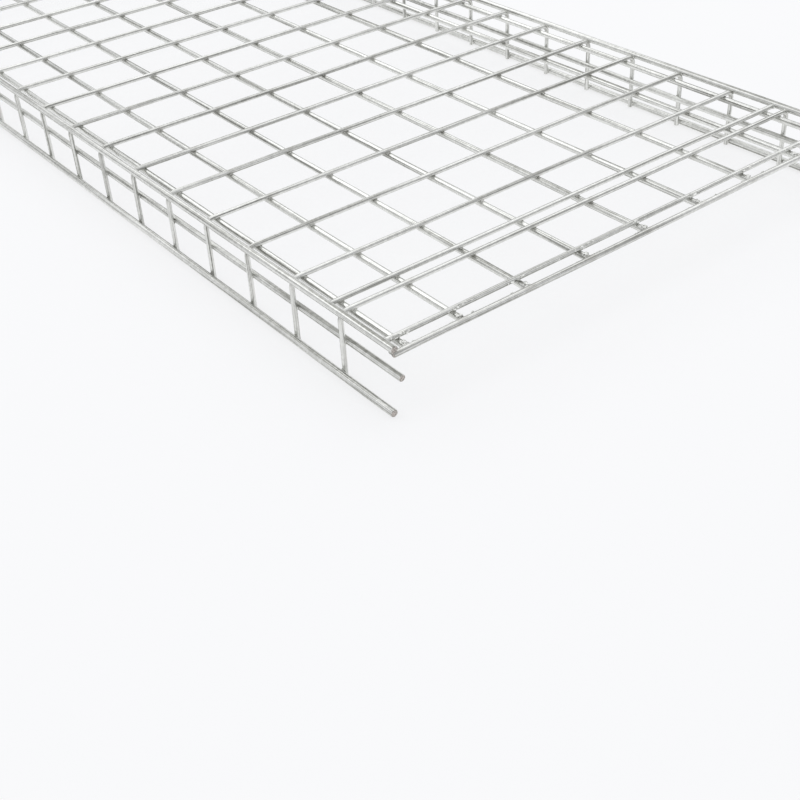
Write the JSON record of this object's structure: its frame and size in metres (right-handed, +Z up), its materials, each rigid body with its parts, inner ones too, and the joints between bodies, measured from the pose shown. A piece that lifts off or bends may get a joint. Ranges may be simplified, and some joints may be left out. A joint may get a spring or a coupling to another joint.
{
  "type": "welded wire mesh panel",
  "caption": "Long welded mesh panel of bright zinc-coated wire, its two long sides bent down into flanges with a border rod along each edge.",
  "frame": {"origin": "on the floor, in the middle of the panel's length and width", "axes": "+X across the panel, +Y along it, +Z up through the deck"},
  "size_m": [0.4122, 0.904, 0.0466],
  "materials": {
    "zinc_wire": "bright zinc coat over drawn wire, satin, with faint lengthwise lines"
  },
  "bodies": {
    "root": {"mesh_panel": "zinc_wire"}
  },
  "joints": []
}
